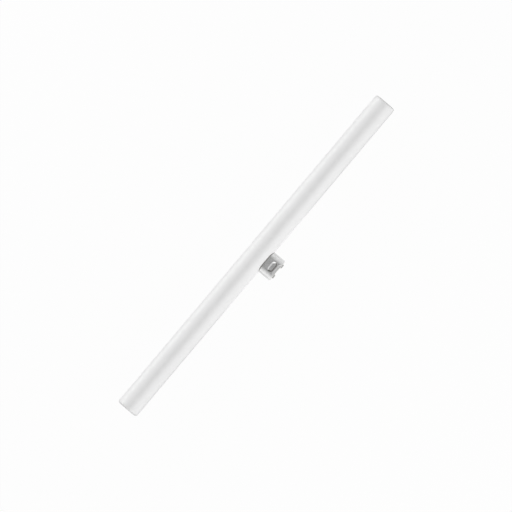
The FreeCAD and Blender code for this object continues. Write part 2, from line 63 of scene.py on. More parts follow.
# The rings of the tube: over half an end face, round a corner, and along the wall
FACE_RINGS = 6
CORNER_RINGS = 12
BODY_RINGS = 60

# The photograph: its side in pixels, the size of a pixel on the lamp, the tube's tilt, and the
# place of the tube's middle from the picture's middle, in pixels
PHOTO_SIDE = 512
PIXEL = 0.001246
PHOTO_TILT = math.radians(49.88)
PHOTO_RIGHT = 0.35
PHOTO_DOWN = -0.255

# The camera: its sensor in millimetres and its distance from the lamp
SENSOR = 36.0
CAMERA_DISTANCE = 8.0

# The studio: the soft panels' size, distance and heights, and the floor's half side
PANEL_SIZE = (1.8, 0.35)
PANEL_DISTANCE = 1.2
FAR_PANEL_HEIGHT = math.radians(16)
NEAR_PANEL_HEIGHT = math.radians(24)
FLOOR_HALF = 30.0
# How far the floor lies below the lamp, so that their faces don't share a plane
FLOOR_GAP = 0.00002
# In reflections the floor turns from white to matt between the first two places across the
# lamp, and back to white between the other two, so that the lamp's underside stays dark
SHADE_FRONT = (-0.022, -0.012)
SHADE_BACK = (0.06, 0.16)
# It stays white beside the cap and in front of the tube. That ends between these distances from
# the cap's middle along the lamp, and between these places across it
OPEN_REACH = (0.06, 0.1)
OPEN_FRONT = (0.0, 0.006)

# Where a noise turns from the darker tone to the lighter one: in soft patches, in sharper
# ones, in the few places where plating is rubbed, and where the speckled painted shade covers
# the metal
PATCHES = (0.3, 0.7)
GRAINS = (0.35, 0.65)
RUBS = (0.45, 0.65)
SPECKLED = (0.02, 0.9)
# How even the colour of a material is: its darker tone as a share of its lighter one
EVEN = {
    "opal": 0.985,
    "aluminium": 0.85,
    "plastic": 0.94,
    "plating": 0.86,
    "cement": 0.82,
    "tin": 0.85,
}


# Settings that a user may change


def length(name, description, default):
    """A length in metres."""
    return FloatProperty(
        name=name,
        description=description,
        default=default,
        min=0.0,
        precision=5,
        unit="LENGTH",
    )


def colour(name, description, default):
    """A linear colour."""
    return FloatVectorProperty(
        name=name,
        description=description,
        default=default,
        min=0.0,
        max=1.0,
        size=3,
        subtype="COLOR",
    )


def share(name, description, default):
    """A number from 0 to 1."""
    return FloatProperty(
        name=name,
        description=description,
        default=default,
        min=0.0,
        max=1.0,
        subtype="FACTOR",
    )


def power(name, description, default):
    """The power of a lamp in watts."""
    return FloatProperty(
        name=name, description=description, default=default, min=0.0, unit="POWER"
    )


class TubeSettings(bpy.types.PropertyGroup):
    """The opal tube."""

    end_round: length("End rounding", "Radius of the corner round each end", 0.003)
    around: IntProperty(
        name="Segments", description="Faces round the tube", default=192, min=24
    )
    opal: colour("Opal", "Colour of the opal wall", (0.925, 0.925, 0.925))
    gloss_roughness: share("Roughness", "Roughness of the tube's surface", 0.34)
    gloss_index: FloatProperty(
        name="Index",
        description="Refractive index of the wall, which sets how strong its gloss is",
        default=1.8,
        min=1.0,
    )


class CapSettings(bpy.types.PropertyGroup):
    """The drawn metal shell of the cap."""

    width: length("Width", "Width of the cap along the tube", 0.0315)
    depth: length("Depth", "Distance between the cap's flat sides", 0.014)
    wall: length("Wall", "Thickness of the sheet", 0.0005)
    drop: length("Drop", "Height of the cap below the tube", 0.01715)
    seam_gap: length("Seam", "Gap between the tube and the shell's mouth", 0.0001)
    dimple_drop: length("Dimple drop", "Dimple's centre below the tube", 0.00935)
    dimple_margin: length("Dimple margin", "Flat side left beside a dimple", 0.0019)
    dimple_height: length("Dimple height", "Height of a dimple's mouth", 0.0073)
    dimple_depth: length("Dimple depth", "Depth of a dimple", 0.0011)
    dimple_slope: length("Dimple slope", "Width of a dimple's sloped wall", 0.0012)
    lip_height: length("Lip height", "Height of the crimped lip", 0.0031)
    lip_depth: length("Lip depth", "How far the rim is crimped in", 0.0011)
    lip_top_margin: length("Lip top", "Flat side left beside the lip's top", 0.00315)
    lip_rim_overrun: length("Lip rim", "Lip's reach past the flat at the rim", 0.00085)
    fold: length("Fold", "Softness of the pressed folds", 0.00028)
    crown: length("Crown", "How far the round ends ease into the flat sides", 0.0016)
    bead_width: length("Bead width", "Reach of the cement bead over the tube", 0.001)
    bead_drop: length("Bead drop", "Reach of the cement bead down the wall", 0.0009)
    # Painted shade: the bead's tone is far darker than the basing cement and stands in for the
    # shade in the joint
    bead: colour("Bead", "Colour of the cement bead at the joint", (0.26, 0.255, 0.245))
    metal: colour("Metal", "Colour of the drawn aluminium", (0.88, 0.88, 0.88))
    # Painted shade: this dark tone, laid into the dimples' lower and left creases and on the
    # lips, stands in for shade
    painted_shade: colour("Painted_shade", "Colour of the dirt in the dimples", (0.16, 0.156, 0.15))
    satin_roughness: share("Roughness", "Roughness of the satin metal", 0.24)


class FittingSettings(bpy.types.PropertyGroup):
    """The plug, the contacts and what joins them to the tube."""

    plug: colour("Plug", "Colour of the moulded plug", (0.82, 0.81, 0.78))
    plating: colour("Plating", "Colour of the plated contacts", (0.78, 0.78, 0.77))
    cement: colour("Cement", "Colour of the basing cement", (0.82, 0.8, 0.76))
    wire: colour("Wire", "Colour of the tinned wires", (0.74, 0.72, 0.68))
    solder: colour("Solder", "Colour of the solder", (0.62, 0.62, 0.61))
    plug_roughness: share("Plug roughness", "Roughness of the moulded plug", 0.48)
    plating_roughness: share("Plating roughness", "Roughness of the contacts", 0.3)
    wire_roughness: share("Wire roughness", "Roughness of the wires", 0.3)
    solder_roughness: share("Solder roughness", "Roughness of the solder", 0.45)


class StudioSettings(bpy.types.PropertyGroup):
    """The floor, the lamps and the surrounding light."""

    floor: colour("Floor", "Colour of the matt floor", (0.54, 0.54, 0.54))
    floor_white: share("Floor white", "How plain the floor looks to the camera", 0.97)
    floor_gloss: share("Floor gloss", "How plain the floor looks in reflections", 0.98)
    far_panel: power("Far panel", "Low soft panel beyond the tube", 10.8)
    near_panel: power("Near panel", "Low soft panel on the cap's side", 9.6)
    sky: share("Sky", "Even light from all round", 0.435)
    room: share("Room", "How pale the room looks in reflections", 0.745)
    room_left: share("Left end", "How much paler the left end of the room is", 0.325)
    room_right: share("Right end", "How much paler the right end is", 0.163)
    room_far: FloatProperty(
        name="Far side",
        description="How much paler the side beyond the tube is",
        default=1.35,
        min=0.0,
    )
    window: share("Window", "How much paler the left of the cap's side is", 1.0)
    ceiling: share("Ceiling", "How much darker the room is overhead", 0.275)
    spot: share("Spot", "How much darker the middle of the ceiling is", 0.165)
    spot_edge: FloatProperty(
        name="Spot edge", description="How small the dark spot is", default=40.0, min=1.0
    )


# Shader maths


class Field:
    """A number that varies over a surface. Arithmetic on it adds Math nodes."""

    def __init__(self, nodes, socket):
        self.nodes = nodes
        self.socket = socket

    def __add__(self, other):
        return self.nodes.math("ADD", self, other)

    def __sub__(self, other):
        return self.nodes.math("SUBTRACT", self, other)

    def __mul__(self, other):
        return self.nodes.math("MULTIPLY", self, other)

    def __pow__(self, other):
        return self.nodes.math("POWER", self, other)

    def __rsub__(self, other):
        return self.nodes.math("SUBTRACT", other, self)

    __radd__ = __add__
    __rmul__ = __mul__


class Nodes:
    """The nodes of one material or of the world."""

    def __init__(self, owner):
        owner.use_nodes = True
        self.tree = owner.node_tree
        self.tree.nodes.clear()

    def node(self, kind, settings=(), sockets=(), out=0):
        """Adds a node: its settings first, then the values or links of its sockets."""
        made = self.tree.nodes.new(kind)
        for name, value in dict(settings).items():
            setattr(made, name, value)
        for key, value in dict(sockets).items():
            socket = made.inputs[key]
            if isinstance(value, Field):
                self.tree.links.new(value.socket, socket)
            else:
                socket.default_value = value
        return Field(self, made.outputs[out]) if made.outputs else None

    def math(self, operation, first, second):
        """Arithmetic on two numbers."""
        return self.node(
            "ShaderNodeMath", {"operation": operation}, {0: first, 1: second}
        )

    def mix(self, factor, first, second):
        """One colour turned into another by a factor."""
        colours = [c if isinstance(c, Field) else (*c, 1.0) for c in (first, second)]
        return self.node(
            "ShaderNodeMix",
            {"data_type": "RGBA"},
            {0: factor, 6: colours[0], 7: colours[1]},
            out=2,
        )

    def two_tones(self, factor, light, evenness):
        """A colour that changes between a darker tone and itself."""
        dark = [evenness * level for level in light]
        return self.mix(factor, dark, light)

    def steps(self, value, low, high):
        """0 below low, 1 above high and a smooth change between them."""
        return self.node(
            "ShaderNodeMapRange",
            {"interpolation_type": "SMOOTHSTEP"},
            {"Value": value, "From Min": low, "From Max": high},
        )

    def place(self, source, stretch=(1.0, 1.0, 1.0)):
        """Places on the surface, stretched along each axis."""
        where = self.node("ShaderNodeTexCoord", out=source)
        return self.node(
            "ShaderNodeVectorMath",
            {"operation": "MULTIPLY"},
            {0: where, 1: stretch},
        )

    def noise(self, where, scale, detail=2.0, roughness=0.5):
        """Cloudy noise from 0 to 1, finer with a larger scale."""
        return self.node(
            "ShaderNodeTexNoise",
            {},
            {
                "Vector": where,
                "Scale": scale,
                "Detail": detail,
                "Roughness": roughness,
            },
        )

    def bump(self, height, strength, distance):
        """The surface's normal, raised by a height of up to the distance."""
        return self.node(
            "ShaderNodeBump",
            {},
            {"Height": height, "Strength": strength, "Distance": distance},
        )

    def finish_surface(self, **sockets):
        """The shader and the output of a material."""
        named = {key.replace("_", " "): value for key, value in sockets.items()}
        shader = self.node("ShaderNodeBsdfPrincipled", {}, named)
        self.node("ShaderNodeOutputMaterial", {}, {"Surface": shader})


def opal_material(settings):
    """Semi-gloss opal wall with a faint cloudiness."""
    material = bpy.data.materials.new("opal_wall")
    nodes = Nodes(material)
    where = nodes.place("Object")
    cloud = nodes.noise(where, scale=60.0, detail=3.0)
    fine = nodes.noise(where, scale=900.0)
    patches = nodes.steps(cloud, *PATCHES)
    nodes.finish_surface(
        Base_Color=nodes.two_tones(patches, settings.opal, EVEN["opal"]),
        Roughness=settings.gloss_roughness + 0.06 * (fine - 0.5),
        IOR=settings.gloss_index,
        Normal=nodes.bump(cloud, strength=0.05, distance=0.0002),
    )
    return material


def drawn_metal_material(settings):
    """Satin aluminium with lines along its draw, brighter, smoother worn edges, and speckled
    painted shade in the dimples' creases and on the lips.
    """
    material = bpy.data.materials.new("drawn_aluminium")
    nodes = Nodes(material)
    lines = nodes.noise(nodes.place("UV", (1.0, 0.05, 1.0)), scale=5200.0, detail=3.0)
    broad = nodes.noise(nodes.place("UV", (1.0, 0.2, 1.0)), scale=700.0)
    cloud = nodes.noise(nodes.place("Object"), scale=260.0, detail=3.0)
    wear = nodes.node("ShaderNodeAttribute", {"attribute_name": "wear"}, out="Fac")
    # Painted shade: a dark tone along the dimples' lower and left walls and on the lips, broken
    # into specks. It also makes the metal rougher there
    painted_shade = nodes.node("ShaderNodeAttribute", {"attribute_name": "painted_shade"}, out="Fac")
    specks = nodes.noise(nodes.place("Object"), scale=900.0, detail=3.0)
    painted_shade = nodes.steps(painted_shade * (0.5 + specks), *SPECKLED)
    tone = nodes.steps(0.6 * cloud + 0.4 * lines + 0.35 * wear, *PATCHES)
    clean = nodes.two_tones(tone, settings.metal, EVEN["aluminium"])
    rough = settings.satin_roughness + 0.1 * (lines - 0.5) + 0.08 * (cloud - 0.5)
    nodes.finish_surface(
        Base_Color=nodes.mix(painted_shade, clean, settings.painted_shade),
        Metallic=1.0,
        Roughness=rough - 0.08 * wear + 0.2 * painted_shade,
        Normal=nodes.bump(lines + 0.5 * broad, strength=0.25, distance=0.00002),
    )
    return material


def moulded_material(settings):
    """Fine matt moulded plastic."""
    material = bpy.data.materials.new("moulded_plastic")
    nodes = Nodes(material)
    where = nodes.place("Object")
    grain = nodes.noise(where, scale=4000.0, detail=3.0)
    cloud = nodes.noise(where, scale=240.0)
    patches = nodes.steps(cloud, *PATCHES)
    nodes.finish_surface(
        Base_Color=nodes.two_tones(patches, settings.plug, EVEN["plastic"]),
        Roughness=settings.plug_roughness + 0.1 * (grain - 0.5),
        Normal=nodes.bump(grain, strength=0.2, distance=0.00002),
    )
    return material


def plated_material(settings):
    """Plated strip with rolling lines and a few rubbed places."""
    material = bpy.data.materials.new("plated_strip")
    nodes = Nodes(material)
    lines = nodes.noise(nodes.place("Object", (1.0, 0.1, 0.1)), scale=5000.0, detail=3.0)
    rubbed = nodes.steps(nodes.noise(nodes.place("Object"), scale=700.0), *RUBS)
    nodes.finish_surface(
        Base_Color=nodes.two_tones(rubbed, settings.plating, EVEN["plating"]),
        Metallic=1.0,
        Roughness=settings.plating_roughness + 0.12 * (lines - 0.5) - 0.06 * rubbed,
        Normal=nodes.bump(lines, strength=0.2, distance=0.00002),
    )
    return material


def cement_material(name, tint):
    """Matt, slightly grainy cement."""
    material = bpy.data.materials.new(name)
    nodes = Nodes(material)
    grain = nodes.noise(nodes.place("Object"), scale=1800.0, detail=4.0, roughness=0.65)
    grains = nodes.steps(grain, *GRAINS)
    nodes.finish_surface(
        Base_Color=nodes.two_tones(grains, tint, EVEN["cement"]),
        Roughness=0.85 + 0.1 * (grain - 0.5),
        Normal=nodes.bump(grain, strength=0.5, distance=0.0001),
    )
    return material


def tinned_material(name, tint, roughness):
    """Tinned wire or solder, with the uneven skin of hot metal."""
    material = bpy.data.materials.new(name)
    nodes = Nodes(material)
    skin = nodes.noise(nodes.place("Object"), scale=1500.0, detail=3.0)
    patches = nodes.steps(skin, *GRAINS)
    nodes.finish_surface(
        Base_Color=nodes.two_tones(patches, tint, EVEN["tin"]),
        Metallic=1.0,
        Roughness=roughness + 0.15 * (skin - 0.5),
        Normal=nodes.bump(skin, strength=0.3, distance=0.00005),
    )
    return material


# Meshes


def closed_rows(total, count, wrap):
    """Faces between closed rows of equal length, and with wrap from the last to the first."""
    faces = []
    for i in range(total if wrap else total - 1):
        here = i * count
        there = (i + 1) % total * count
        for j in range(count):
            k = (j + 1) % count
            faces.append((here + j, here + k, there + k, there + j))
    return faces


def new_piece(name, points, faces, material):
    """A smooth mesh object with its faces turned outwards."""
    mesh = bpy.data.meshes.new(name)
    mesh.from_pydata(points, [], faces)
    work = bmesh.new()
    work.from_mesh(mesh)
    bmesh.ops.recalc_face_normals(work, faces=work.faces)
    work.to_mesh(mesh)
    work.free()
    mesh.shade_smooth()
    mesh.materials.append(material)
    piece = bpy.data.objects.new(name, mesh)
    bpy.context.scene.collection.objects.link(piece)
    return piece


def dress(node, material):
    """Gives a CAD node its material."""
    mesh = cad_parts[node].data
    mesh.materials.clear()
    mesh.materials.append(material)


def tube_axis():
    """The middle of the tube, its half length and its radius."""
    low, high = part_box("opal_tube")
    return (low + high) / 2, (high.x - low.x) / 2, (high.z - low.z) / 2


def soft_ramp(distance, softness):
    """0 behind the start, the distance past it, and a soft fold between."""
    return (distance + math.hypot(distance, softness)) / 2


class CapForm:
    """The cap's shell in its own frame, from its sizes and the tube's radius."""

    # Columns along a flat side and round an end, and rows down the outer face, up the inner
    # face and over an edge
    FLAT_STEPS = 84
    ROUND_STEPS = 64
    OUTER_ROWS = 84
    INNER_ROWS = 24
    EDGE_ROWS = 5
    # The lip's sides blend into the flat over this many fold widths
    LIP_SIDE = 2.5
    # How far wear reaches from an edge, and the strip that the holder's springs rub
    WORN = 0.0003
    RUBBED = 0.6
    RUB_WIDTH = 0.0035
    # How much wider a dimple's upper wall is than its lower wall
    UPPER_SLOPE = 0.45
    # Painted shade starts this far outside a dimple's outline, and fades over this width past
    # half of its wall
    CREASE_SHADE_START = 0.0005
    CREASE_SHADE_FADE = 0.002
    # The painted shade starts this share of a dimple's half height above the middle and is full
    # that share further down. At the left end it climbs by the third share
    CREASE_SHADE_REACH = 0.15
    CREASE_SHADE_EDGE = 0.6
    CREASE_SHADE_CLIMB = 0.8
    # How much painted shade the lips take below their tops
    LIP_SHADE = 0.3
    # The bead is smaller at the cap's round ends, hollow, and sunk a little into its
    # neighbours
    BEAD_STEPS = 6
    BEAD_END = 0.1
    BEAD_HOLLOW = 0.25
    BEAD_SUNK = 0.00008

    def __init__(self, sizes):
        self.sizes = sizes
        middle, _, self.radius = tube_axis()
        low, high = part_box("cap_shell")
        self.half_depth = sizes.depth / 2
        self.straight = sizes.width / 2 - self.half_depth
        self.eased = self.straight - sizes.crown
        self.rim = self.radius + sizes.drop
        self.saddle = self.radius + sizes.seam_gap
        seat = math.sqrt(self.half_depth**2 - sizes.lip_rim_overrun**2)
        reach = math.hypot(self.rim, seat)
        self.lean = math.asin(self.radius / reach) - math.atan(seat / self.rim)
        sine, cosine = math.sin(self.lean), math.cos(self.lean)
        self.laid_down = Matrix(
            (
                (1.0, 0.0, 0.0, (low.x + high.x) / 2),
                (0.0, sine, cosine, middle.y),
                (0.0, -cosine, sine, middle.z),
                (0.0, 0.0, 0.0, 1.0),
            )
        )

    def outline(self):
        """The oblong as (centre x, outward x, outward y, distance run) for each column.
        Its round ends are a little longer than half circles."""
        places = []
        run = 0.0
        step = 2 * self.eased / self.FLAT_STEPS
        turn = math.pi / self.ROUND_STEPS
        for side in (1, -1):
            for i in range(self.FLAT_STEPS):
                places.append((side * (i * step - self.eased), 0.0, -side, run))
                run += step
            for i in range(self.ROUND_STEPS):
                out_x = side * math.sin(i * turn)
                out_y = -side * math.cos(i * turn)
                places.append((side * self.eased, out_x, out_y, run))
                run += turn * self.half_depth
        return places, run

    def dimple(self, x, z, wide, softness):
        """How far a place lies inside the dimple's outline, the dimple's depth there and
        the painted shade that lies along its lower wall and up its left end."""
        sizes = self.sizes
        half_height = sizes.dimple_height / 2
        straight = self.straight - sizes.dimple_margin - half_height
        level = -z - self.radius - sizes.dimple_drop
        along = max(abs(x) - straight, 0.0)
        inside = half_height + wide - math.hypot(along, level)
        below = level / half_height
        slope = sizes.dimple_slope * (1 + self.UPPER_SLOPE * smooth_step(-below))
        step = soft_ramp(inside, softness) - soft_ramp(inside - slope, softness)
        # Painted shade: darkest along the lower wall and climbing up the left end
        leftward = along / half_height if x < 0 else 0.0
        lying = below + self.CREASE_SHADE_CLIMB * leftward + self.CREASE_SHADE_REACH
        low_left = smooth_step(lying / self.CREASE_SHADE_EDGE)
        in_crease = smooth_step(inside / self.CREASE_SHADE_START + 1) * (
            1 - smooth_step((inside - slope / 2) / self.CREASE_SHADE_FADE)
        )
        return inside, sizes.dimple_depth * step / slope, low_left * in_crease

    def lip(self, x, z, wide, softness):
        """How far below the lip's top a place lies, the lip's depth there and how fully
        the place belongs to the lip."""
        sizes = self.sizes
        past_top = -z - (self.rim - sizes.lip_height)
        depth = soft_ramp(past_top, softness) * sizes.lip_depth / sizes.lip_height
        top_half = self.straight - sizes.lip_top_margin
        rim_half = self.straight + sizes.lip_rim_overrun
        fall = min(max(past_top / sizes.lip_height, 0.0), 1.0)
        half = top_half + (rim_half - top_half) * fall + wide
        width = self.LIP_SIDE * softness
        return past_top, depth, smooth_step((half - abs(x)) / width + 0.5)

    def wall_point(self, column, z, inset=0.0, wide=0.0, softer=0.0):
        """A place on the wall, its wear and its painted shade, with the pressings and at one
        depth in the sheet."""
        centre_x, out_x, out_y, _ = column
        flat = self.half_depth - inset
        x = centre_x + out_x * (flat + self.sizes.crown)
        softness = self.sizes.fold + softer
        inside, dimple, crease_shade = self.dimple(x, z, wide, softness)
        past_top, lip, on_lip = self.lip(x, z, inset, softness)
        depth = min(abs(out_y) * flat, flat - dimple - lip * on_lip)
        # The lips take painted shade below their tops
        crease_shade = max(crease_shade, self.LIP_SHADE * on_lip * smooth_step(past_top / self.CREASE_SHADE_FADE))
        top = self.mouth(column)
        wear = max(
            bell(inside / self.WORN),
            bell(past_top / self.WORN) * on_lip,
            bell((z + self.rim) / self.WORN),
            bell((z - top) / self.WORN),
            self.RUBBED * bell(x / self.RUB_WIDTH) * smooth_step(past_top / self.WORN),
        )
        return (x, math.copysign(depth, out_y), z), wear, crease_shade

    def mouth(self, column):
        """The height of the shell's mouth, which follows the tube."""
        return -math.sqrt(self.saddle**2 - (column[2] * self.half_depth) ** 2)

    def bead_rows(self):
        """Closed rows round the joint: from inside the wall over the bead's hollow face
        and into the tube, and back through the seam."""
        sizes = self.sizes
        columns, _ = self.outline()
        rows = [[] for _ in range(self.BEAD_STEPS + 3)]
        for column in columns:
            centre_x, out_x, out_y, _ = column
            size = self.BEAD_END + (1 - self.BEAD_END) * out_y * out_y
            mouth = self.mouth(column)
            reach = self.half_depth + sizes.bead_width * size
            tube = -math.sqrt(self.radius**2 - (out_y * reach) ** 2)
            corner = Vector((self.half_depth, mouth))
            low_edge = Vector((self.half_depth, mouth - sizes.bead_drop * size))
            high_edge = Vector((reach, tube))
            under = Vector((self.half_depth - self.BEAD_SUNK, low_edge.y))
            places = [under]
            for i in range(self.BEAD_STEPS):
                turn = i / (self.BEAD_STEPS - 1)
                pull = self.BEAD_HOLLOW * math.sin(math.pi * turn)
                places.append(low_edge.lerp(high_edge, turn).lerp(corner, pull))
            places.append(high_edge + Vector((0.0, self.BEAD_SUNK)))
            places.append(Vector((under.x, mouth + self.BEAD_SUNK)))
            for row, (out, up) in zip(rows, places):
                x = centre_x + out_x * (out + sizes.crown)
                row.append(Vector((x, out_y * out, up)))
        return rows

    def rows(self):
        """Closed rows of (point, wear, painted shade): down the outside, round the rim, up the
        inside and over the mouth."""
        columns, _ = self.outline()
        sizes = self.sizes
        wall = sizes.wall
        edge = wall / 2
        # The inner faces of a slanting wall meet the flat a little further out
        steepness = math.atan(sizes.dimple_depth / sizes.dimple_slope)
        mitre = wall * math.tan(steepness / 2)
        outer = []
        inner = []
        for i in range(self.OUTER_ROWS + 1):
            fall = i / self.OUTER_ROWS
            outer.append([self.wall_point(c, self.height(c, fall, edge)) for c in columns])
        for i in range(self.INNER_ROWS + 1):
            fall = 1 - i / self.INNER_ROWS
            inner.append(
                [
                    self.wall_point(c, self.height(c, fall, edge), wall, mitre, edge)
                    for c in columns
                ]
            )
        rim = self.rounded_edge(outer[-1], inner[0], -edge)
        mouth = self.rounded_edge(inner[-1], outer[0], edge)
        return outer + rim + inner + mouth

    def height(self, column, fall, edge):
        """The height at a share of the way from the mouth to the rim."""
        top = self.mouth(column) - edge
        low = edge - self.rim
        return top + (low - top) * fall

    def rounded_edge(self, first, last, rise):
        """Rows over a half round edge from one face of the sheet to the other."""
        rows = []
        for i in range(1, self.EDGE_ROWS + 1):
            turn = math.pi * i / (self.EDGE_ROWS + 1)
            lift = Vector((0.0, 0.0, rise * math.sin(turn)))
            row = []
            for (here, wear, crease_shade), (there, _, _) in zip(first, last):
                middle = (Vector(here) + Vector(there)) / 2
                half = (Vector(here) - Vector(there)) / 2
                row.append((tuple(middle + half * math.cos(turn) + lift), wear, crease_shade))
            rows.append(row)
        return rows


def smooth_step(value):
    """0 up to 0, 1 from 1 on and a smooth change between."""
    value = min(max(value, 0.0), 1.0)
    return value * value * (3 - 2 * value)


def bell(value):
    """1 at 0, falling away to both sides."""
    return math.exp(-value * value)


def add_outline_uv(piece, columns, total):
    """Unrolls the shell: across is the distance round it and up is its height."""
    mesh = piece.data
    count = len(columns)
    layer = mesh.uv_layers.new(name="unrolled")
    for polygon in mesh.polygons:
        used = {v % count for v in polygon.vertices}
        over_the_join = 0 in used and count - 1 in used
        for loop in polygon.loop_indices:
            vertex = mesh.loops[loop].vertex_index
            column = vertex % count
            run = total if over_the_join and column == 0 else columns[column][3]
            layer.data[loop].uv = (run, mesh.vertices[vertex].co.z)


def tube_profile(half_length, radius, end_round):
    """Places along the tube's wall as (place along, radius), from end to end."""
    face = radius - end_round
    left = [(-half_length, face * i / FACE_RINGS) for i in range(1, FACE_RINGS)]
    for i in range(CORNER_RINGS + 1):
        turn = math.pi / 2 * i / CORNER_RINGS
        out = end_round * math.cos(turn)
        left.append((end_round - half_length - out, face + end_round * math.sin(turn)))
    right = [(-x, r) for x, r in reversed(left)]
    run = 2 * (half_length - end_round)
    middle = [
        (end_round - half_length + run * i / BODY_RINGS, radius)
        for i in range(1, BODY_RINGS)
    ]
    return left + middle + right


# The operators, one for each piece or group of like pieces


class LAMP_OT_tube(bpy.types.Operator):
    """Make the opal tube as one smooth closed piece"""

    bl_idname = "lamp.tube"
    bl_label = "Opal tube"

    def execute(self, context):
        settings = context.scene.lamp_tube
        middle, half_length, radius = tube_axis()
        profile = tube_profile(half_length, radius, settings.end_round)
        count = settings.around
        points = []
        for along, out in profile:
            for j in range(count):
                turn = 2 * math.pi * j / count
                offset = Vector((along, out * math.cos(turn), out * math.sin(turn)))
                points.append(middle + offset)
        faces = closed_rows(len(profile), count, wrap=False)
        for end, first in ((-half_length, 0), (half_length, len(points) - count)):
            points.append(middle + Vector((end, 0.0, 0.0)))
            hub = len(points) - 1
            for j in range(count):
                faces.append((hub, first + j, first + (j + 1) % count))
        tube = new_piece("tube_wall", points, faces, opal_material(settings))
        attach(tube, "root")
        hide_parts("opal_tube")
        return {"FINISHED"}


class LAMP_OT_shell(bpy.types.Operator):
    """Make the cap's drawn shell with its dimples and crimped lips"""

    bl_idname = "lamp.shell"
    bl_label = "Cap shell"

    def execute(self, context):
        settings = context.scene.lamp_cap
        form = CapForm(settings)
        rows = form.rows()
        columns, total = form.outline()
        places = [place for row in rows for place in row]
        points, wear, painted_shade = zip(*places)
        faces = closed_rows(len(rows), len(columns), wrap=True)
        material = drawn_metal_material(settings)
        shell = new_piece("cap_sheet", points, faces, material)
        add_outline_uv(shell, columns, total)
        # Stores the wear and the painted shade on the shell's points
        for name, values in (("wear", wear), ("painted_shade", painted_shade)):
            layer = shell.data.attributes.new(name, "FLOAT", "POINT")
            layer.data.foreach_set("value", values)
        shell.data.transform(form.laid_down)
        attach(shell, "root")
        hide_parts("cap_shell")
        return {"FINISHED"}


class LAMP_OT_bead(bpy.types.Operator):
    """Make the bead of cement that shows all round the joint, tinted dark as painted shade of
    the joint
    """

    bl_idname = "lamp.bead"
    bl_label = "Joint bead"

    def execute(self, context):
        settings = context.scene.lamp_cap
        form = CapForm(settings)
        rows = form.bead_rows()
        points = [point for row in rows for point in row]
        faces = closed_rows(len(rows), len(rows[0]), wrap=True)
        # A real cement bead, tinted dark as painted shade of the joint
        material = cement_material("joint_cement_painted_shade", settings.bead)
        bead = new_piece("joint_bead", points, faces, material)
        bead.data.transform(form.laid_down)
        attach(bead, "root")
        return {"FINISHED"}


class LAMP_OT_fittings(bpy.types.Operator):
    """Give the plug, contacts, cement, wires and solder their materials"""

    bl_idname = "lamp.fittings"
    bl_label = "Plug and contacts"

    def execute(self, context):
        settings = context.scene.lamp_fittings
        dress("cap_insulator", moulded_material(settings))
        dress("basing_cement", cement_material("basing_cement", settings.cement))
        plating = plated_material(settings)
        wire = tinned_material("tinned_wire", settings.wire, settings.wire_roughness)
        solder = tinned_material("joint_solder", settings.solder, settings.solder_roughness)
        for side in ("left", "right"):
            dress(f"contact_{side}", plating)
            dress(f"lead_wire_{side}", wire)
            dress(f"solder_joint_{side}", solder)
        return {"FINISHED"}


